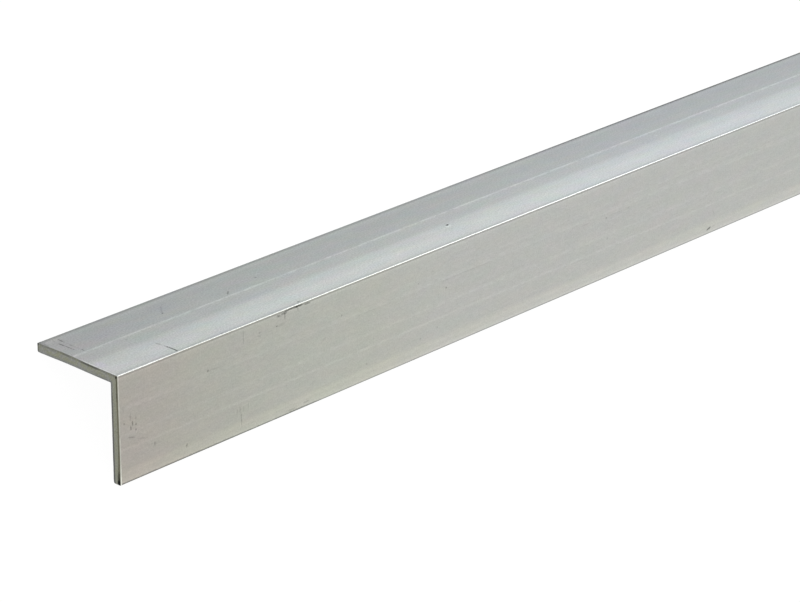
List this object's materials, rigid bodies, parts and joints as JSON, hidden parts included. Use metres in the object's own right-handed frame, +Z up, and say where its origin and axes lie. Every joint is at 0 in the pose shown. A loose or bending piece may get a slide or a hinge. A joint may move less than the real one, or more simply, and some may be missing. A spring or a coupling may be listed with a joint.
{
  "type": "metal angle section",
  "caption": "Length of equal-leg angle stock with a right-angle section and square sawn ends, for frames, brackets and edge trim.",
  "frame": {"origin": "on the floor, below the middle of the ridge, halfway along the length", "axes": "+X along the length, away from the sawn end that the picture shows; +Z up through the ridge; +Y towards the tip of the leg that carries the die line. The section stands on its two leg tips with the ridge up."},
  "size_m": [1, 0.0704, 0.0378],
  "materials": {
    "mill_finish_aluminium": "mill finish"
  },
  "bodies": {
    "root": {"angle_section": "mill_finish_aluminium"}
  },
  "joints": []
}
